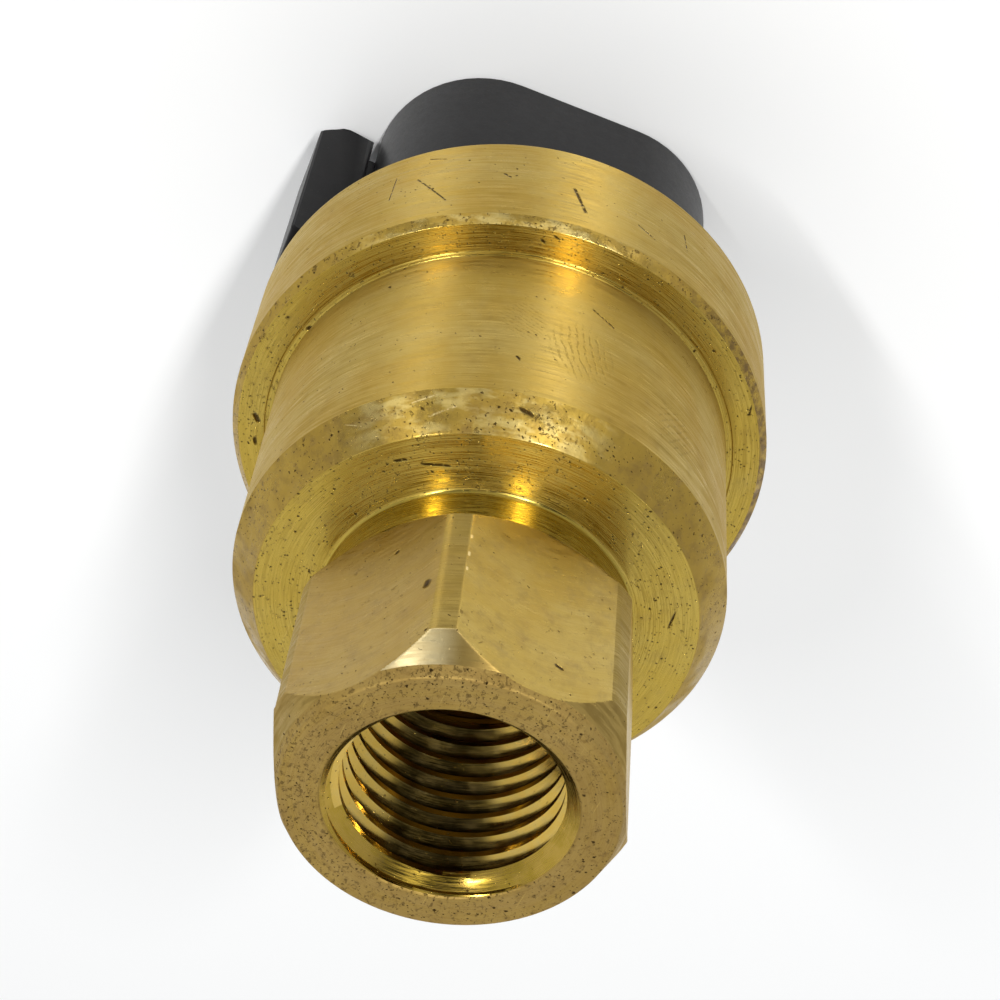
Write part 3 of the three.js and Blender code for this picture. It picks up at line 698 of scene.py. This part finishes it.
    # each patch's normals point out of the brass
    me = ob.data
    flips = []
    for p in me.polygons:
        c, nn = p.center / MM, p.normal
        rad = math.hypot(c.x, c.y)
        ur = Vector((c.x / max(rad, 1e-6), c.y / max(rad, 1e-6), 0))
        inside = rad < 7.3 and c.z > 45.2 and not (c.z > 63.38)
        if inside:
            want = -ur + Vector((0, 0, 0.5))
        elif c.z > 63.38:
            want = Vector((0, 0, 1))
        elif c.z >= 49.8:
            want = ur
        else:
            want = None
        if want is not None and nn.dot(want) < -0.02:
            flips.append(p.index)
    if flips:
        bm = bmesh.new()
        bm.from_mesh(me)
        bm.faces.ensure_lookup_table()
        bmesh.ops.reverse_faces(bm, faces=[bm.faces[i] for i in flips])
        bm.to_mesh(me)
        bm.free()
    me.polygons.foreach_set("use_smooth", [True] * len(me.polygons))
    place(ob, "housing", ["brass_body"], 25)
    return ob


build_body()

# ------------------------------------------------------------------ receptacle


def tri_loop(off, z, arc=20, side=6):
    pts = []
    R = TRI_R - off
    for n, corner in enumerate((-30, 90, 210)):
        c = math.radians(corner)
        cx, cy = TRI_E * math.cos(c), TRI_E * math.sin(c)
        for i in range(arc + 1):
            a = math.radians(corner - 60 + 120 * i / arc)
            pts.append((cx + R * math.cos(a), cy + R * math.sin(a), z))
        nxt = math.radians(corner + 120)
        a = math.radians(corner + 60)
        s = (cx + R * math.cos(a), cy + R * math.sin(a))
        e = (TRI_E * math.cos(nxt) + R * math.cos(a), TRI_E * math.sin(nxt) + R * math.sin(a))
        for i in range(1, side):
            t = i / side
            pts.append((s[0] + (e[0] - s[0]) * t, s[1] + (e[1] - s[1]) * t, z))
    return pts


def build_housing():
    prof = rounded([(0, 21.9, 0), (0, 0, 0.35), (TRI_WALL, 0, 0.45), (TRI_WALL, 17.0, 0.4), (3.4, 17.0, 0)], steps=6)
    loops = [tri_loop(o, z) for o, z in prof]
    cols = len(loops[0])
    verts = [p for l in loops for p in l]
    faces = grid(None, len(loops), cols)
    faces.append(tuple(range((len(loops) - 1) * cols, len(loops) * cols)))
    V, F = list(verts), list(faces)

    def add(vf):
        base = len(V)
        V.extend(vf[0])
        F.extend(tuple(i + base for i in f) for f in vf[1])

    add(revolve(rounded([(0, 21.6, 0), (15.4, 21.6, 0.2), (15.4, 23.4, 0.2), (13.7, 23.4, 0.2), (13.7, 25.0, 0.2), (9.0, 25.0, 0.2), (9.0, 23.0, 0.2), (0, 23.0, 0)]), 144))
    # bosses round the pins
    for deg in (90, -30, 210):
        a = math.radians(deg)
        add(revolve(rounded([(0.8, 16.9, 0), (0.86, 16.0, 0.08), (1.35, 16.0, 0.12), (1.7, 16.9, 0.2), (1.75, 17.05, 0)]), 40, off=(4.3 * math.cos(a), 4.3 * math.sin(a))))
    ob = new_mesh("receptacle_shell", V, F, mats=[M_BLACK])
    bm = bmesh.new()
    bm.from_mesh(ob.data)
    bmesh.ops.recalc_face_normals(bm, faces=bm.faces)
    bm.to_mesh(ob.data)
    bm.free()
    place(ob, "housing", ["connector_housing"], 40)

    # latch tab: ramped at the mating end, its sides stepped in above the ramp, slot on each side of the web
    x0 = TRI_E * math.cos(math.pi / 6) + TRI_R + 0.5
    outline = rounded([
        (x0, 17.4, 0.25), (x0, 1.1, 0.25), (13.75, 1.05, 0.1), (14.7, 0.75, 0.3), (15.4, 0.6, 0.5), (15.9, 0.75, 0.3),
        (16.4, 1.35, 0.3), (16.9, 2.05, 0.3), (17.5, 2.6, 0.35), (17.5, 17.4, 0.45),
    ], closed=True, steps=4)
    bm = bmesh.new()
    layers = [(-2.85, 0.16), (-2.69, 0.0), (2.69, 0.0), (2.85, 0.16)]
    cx = sum(p[0] for p in outline) / len(outline)
    cz = sum(p[1] for p in outline) / len(outline)

    def inset(p, d):
        x, z = p
        sx = 1 - d / 2.0
        sz = 1 - d / 8.2
        return cx + (x - cx) * sx, cz + (z - cz) * sz

    rows = []
    for yy, d in layers:
        row = []
        for p in outline:
            x, z = inset(p, d)
            # the top of each side leans in
            lean = max(0.0, min(1.0, (2.1 - z) / 1.2)) * 0.3 if abs(yy) > 2.8 else max(0.0, min(1.0, (2.1 - z) / 1.2)) * 0.12
            row.append(bm.verts.new((x, math.copysign(abs(yy) - lean, yy), z)))
        rows.append(row)
    m = len(outline)
    for a, b in zip(rows, rows[1:]):
        for i in range(m):
            k = (i + 1) % m
            bm.faces.new((a[i], a[k], b[k], b[i]))
    bm.faces.new(rows[0])
    bm.faces.new(list(reversed(rows[-1])))
    bmesh.ops.recalc_face_normals(bm, faces=bm.faces)
    me = bpy.data.meshes.new("latch_tab")
    for v in bm.verts:
        v.co = v.co * MM
    bm.to_mesh(me)
    bm.free()
    tab = bpy.data.objects.new("latch_tab", me)
    bpy.context.scene.collection.objects.link(tab)
    me.materials.append(M_BLACK)
    me.polygons.foreach_set("use_smooth", [True] * len(me.polygons))
    place(tab, "housing", None, 30)

    web = bmesh.new()
    bmesh.ops.create_cube(web, size=1.0)
    for v in web.verts:
        v.co = Vector((12.65 + v.co.x * 2.3, v.co.y * 4.1, 9.9 + v.co.z * 14.2)) * MM
    bmesh.ops.bevel(web, geom=web.edges[:], offset=0.25 * MM, segments=3, affect="EDGES")
    me = bpy.data.meshes.new("latch_web")
    web.to_mesh(me)
    web.free()
    wob = bpy.data.objects.new("latch_web", me)
    bpy.context.scene.collection.objects.link(wob)
    me.materials.append(M_BLACK)
    me.polygons.foreach_set("use_smooth", [True] * len(me.polygons))
    place(wob, "housing", None, 40)


build_housing()

# ------------------------------------------------------------------ turned inner pieces

S = 41.0
turned("retainer_ring", [(6.3, S - 4.0, 0.15), (12.4, S - 4.0, 0.2), (12.4, S - 0.6, 0.2), (7.4, S - 0.6, 0.1), (6.3, S - 1.1, 0.1)],
       M_STEEL, "housing", ["diaphragm_retainer"])
turned("pressure_plate", [(0, S - 1.7, 0), (1.26, S - 1.7, 0.05), (1.26, S - 3.8, 0.08), (2.6, S - 3.8, 0.15), (2.6, S - 2.4, 0.15), (6.22, S - 2.4, 0.12), (6.22, S - 1.2, 0.15), (5.6, S - 0.6, 0.3), (0, S - 0.6, 0)],
       M_STEEL, "plunger", ["piston"], closed=False)
turned("push_pin", [(0, 30.5, 0), (0.8, 30.5, 0.2), (1.2, 30.9, 0.15), (1.2, S - 1.8, 0.1), (0, S - 1.8, 0)],
       M_CERAMIC, "plunger", ["actuator_pin"], seg=64, closed=False)
turned("spring_tube", [(5.6, 32.0, 0.15), (7.0, 32.0, 0.2), (7.0, 35.9, 0.2), (12.4, 35.9, 0.15), (12.4, 36.9, 0.15), (5.6, 36.9, 0.2)],
       M_INNER, "housing", ["spring_housing"])
turned("washer_ring", [(12.2, 25.1, 0.12), (15.4, 25.1, 0.12), (15.4, 26.1, 0.12), (12.2, 26.1, 0.12)],
       M_STEEL, "housing", ["support_washer"])
turned("rivet_turned", [(0, 28.8, 0), (1.2, 28.8, 0.15), (1.2, 29.2, 0.08), (0.84, 29.2, 0.05), (0.84, 30.5, 0.05), (1.5, 30.5, 0.08), (1.25, 30.92, 0.25), (0, 31.0, 0)],
       M_INNER, "blade", ["blade_rivet"], seg=64, closed=False, off=(0, 9.0))
turned("contact_button", [(0, 29.7, 0), (1.35, 29.7, 0.2), (1.5, 29.9, 0.1), (1.5, 30.15, 0.05), (0.8, 30.15, 0.03), (0.8, 30.5, 0.03), (1.5, 30.5, 0.05), (1.5, 30.68, 0.1), (1.3, 30.85, 0.2), (0, 30.85, 0)],
       M_SILVER, "blade", ["moving_contact"], seg=64, closed=False, off=(0, -7.5))
turned("fixed_button_no", [(0, 27.68, 0), (0.72, 27.68, 0.05), (0.72, 28.05, 0.03), (1.5, 28.05, 0.05), (1.5, 28.2, 0.1), (1.3, 28.35, 0.15), (0, 28.35, 0)],
       M_SILVER, "housing", ["contact_no"], seg=64, closed=False, off=(0, -7.5))
turned("fixed_button_nc", [(0, 30.95, 0), (1.3, 30.95, 0.15), (1.5, 31.1, 0.1), (1.5, 31.3, 0.05), (0.72, 31.3, 0.03), (0.72, 31.8, 0.08), (0, 31.8, 0)],
       M_SILVER, "housing", ["contact_nc"], seg=64, closed=False, off=(0, -7.5))


def ring_seal(name, r, tube, z, node):
    prof = [(r + tube * math.cos(TAU * i / 20), z + tube * math.sin(TAU * i / 20)) for i in range(20)]
    prof.append(prof[0])
    v, f = revolve(prof, 120)
    ob = new_mesh(name, v, f, mats=[M_RUBBER])
    fix_normals(ob)
    place(ob, "housing", [node])


ring_seal("seal_ring_upper", 10.8, 0.54, 41.33, "diaphragm_seal")
ring_seal("seal_ring_lower", 14.56, 0.75, 24.22, "housing_seal")



def spring_coil():
    turns, per_turn, sides, r, wire, z0, z1 = 3.2, 72, 20, 4.3, 0.44, 34.32, 38.08
    n = round(turns * per_turn)
    verts = []
    for i in range(n + 1):
        a = TAU * turns * i / n
        radial = Vector((math.cos(a), math.sin(a), 0))
        tangent = Vector((-r * math.sin(a), r * math.cos(a), (z1 - z0) / (TAU * turns))).normalized()
        up = tangent.cross(radial)
        c = radial * r + Vector((0, 0, z0 + (z1 - z0) * i / n))
        w = wire - (0.07 if i in (0, n) else 0.0)
        for k in range(sides):
            t = TAU * k / sides
            verts.append(tuple(c + radial * (w * math.cos(t)) + up * (w * math.sin(t))))
    faces = grid(None, n + 1, sides)
    faces.append(tuple(range(sides)))
    faces.append(tuple(n * sides + k for k in range(sides)))
    ob = new_mesh("spring_coil", verts, faces, mats=[M_SPRING])
    fix_normals(ob)
    place(ob, "housing", ["range_spring"], 50)
    # the plate takes 0.6 mm of the spring's 4.64 mm at full travel
    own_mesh(ob)


spring_coil()

for name, mat in {
    "diaphragm": M_SPRING, "adjusting_nut": M_INNER, "contact_carrier": M_CARRIER,
    "terminal_common": M_TIN, "terminal_no": M_TIN, "terminal_nc": M_TIN, "moving_blade": M_BRONZE, "terminal_potting": M_POTTING,
}.items():
    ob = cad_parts[name]
    ob.data.materials.clear()
    ob.data.materials.append(mat)

# ------------------------------------------------------------------ floor, light, camera


def floor():
    bm = bmesh.new()
    bmesh.ops.create_grid(bm, x_segments=8, y_segments=8, size=1.5)
    me = bpy.data.meshes.new("floor")
    bm.to_mesh(me)
    bm.free()
    ob = bpy.data.objects.new("floor", me)
    ob.location.z = -0.00005
    bpy.context.scene.collection.objects.link(ob)
    n = Nodes("floor_paint")
    p = n.tc.outputs["Object"]
    tone = n.mix(n.noise(p, 3.0, 3.0), (0.86, 0.86, 0.855), (0.90, 0.90, 0.895))
    n.link(tone, n.b.inputs["Base Color"])
    n.b.inputs["Roughness"].default_value = 0.75
    n.b.inputs["Specular IOR Level"].default_value = 0.2
    me.materials.append(n.mat)
    return ob


floor()


def light(name, az, el, dist, size, power, size_y=None, target=(0, 0, 0.035), colour=(1, 1, 1)):
    d = bpy.data.lights.new(name, "AREA")
    d.energy = power
    d.shape = "RECTANGLE"
    d.size = size
    d.size_y = size_y or size
    d.color = colour
    ob = bpy.data.objects.new(name, d)
    a, e = math.radians(az), math.radians(el)
    t = Vector(target)
    ob.location = t + Vector((math.cos(e) * math.cos(a), math.cos(e) * math.sin(a), math.sin(e))) * dist
    ob.rotation_euler = (t - ob.location).to_track_quat("-Z", "Y").to_euler()
    bpy.context.scene.collection.objects.link(ob)
    return ob


light("streak_left", -36, 50, 0.6, 0.03, 1.15, size_y=0.25)
light("streak_front", -97, 50, 0.6, 0.04, 1.95, size_y=0.25)

# soft white room, brighter at the back, with an unlit corner over the front
world = bpy.data.worlds.new("studio")
bpy.context.scene.world = world
world.use_nodes = True
wt = world.node_tree
wt.nodes.clear()
w_out = wt.nodes.new("ShaderNodeOutputWorld")
w_bg = wt.nodes.new("ShaderNodeBackground")
w_tc = wt.nodes.new("ShaderNodeTexCoord")
w_dot = wt.nodes.new("ShaderNodeVectorMath")
w_dot.operation = "DOT_PRODUCT"
wt.links.new(w_tc.outputs["Generated"], w_dot.inputs[0])
w_dot.inputs[1].default_value = (math.cos(math.radians(58)) * math.cos(math.radians(-80)), math.cos(math.radians(58)) * math.sin(math.radians(-80)), math.sin(math.radians(58)))
w_dark = wt.nodes.new("ShaderNodeMapRange")
w_dark.interpolation_type = "SMOOTHSTEP"
wt.links.new(w_dot.outputs[1], w_dark.inputs[0])
for k, v in zip(w_dark.inputs[1:5], (0.78, 0.88, 1.0, 0.05)):
    k.default_value = v
w_sep = wt.nodes.new("ShaderNodeSeparateXYZ")
wt.links.new(w_tc.outputs["Generated"], w_sep.inputs[0])
w_back = wt.nodes.new("ShaderNodeMapRange")
w_back.interpolation_type = "SMOOTHSTEP"
wt.links.new(w_sep.outputs[1], w_back.inputs[0])
for k, v in zip(w_back.inputs[1:5], (-0.3, 0.5, 0.62, 1.0)):
    k.default_value = v
w_mul = wt.nodes.new("ShaderNodeMath")
w_mul.operation = "MULTIPLY"
wt.links.new(w_dark.outputs[0], w_mul.inputs[0])
wt.links.new(w_back.outputs[0], w_mul.inputs[1])
w_bg.inputs[0].default_value = (0.97, 0.985, 1.0, 1.0)
wt.links.new(w_mul.outputs[0], w_bg.inputs[1])
wt.links.new(w_bg.outputs[0], w_out.inputs[0])

cam_data = bpy.data.cameras.new("camera")
cam_data.sensor_width = 36.0
cam_data.lens = 2115.567 / 1000.0 * 36.0
cam_data.clip_start = 0.005
cam_data.clip_end = 10.0
cam = bpy.data.objects.new("camera", cam_data)
right = Vector((-0.92939279, -0.36106918, -0.07653818))
up = Vector((0.33256742, -0.7292758, -0.59795963))
back = Vector((0.16008735, -0.58119347, 0.79786351))
m3 = Matrix((right, up, back)).transposed()
cam.matrix_world = Matrix.Translation(Vector((0.0212050, -0.0792441, 0.1441227))) @ m3.to_4x4()
bpy.context.scene.collection.objects.link(cam)
bpy.context.scene.camera = cam
bpy.context.scene.view_settings.view_transform = "Standard"
bpy.context.scene.view_settings.look = "None"
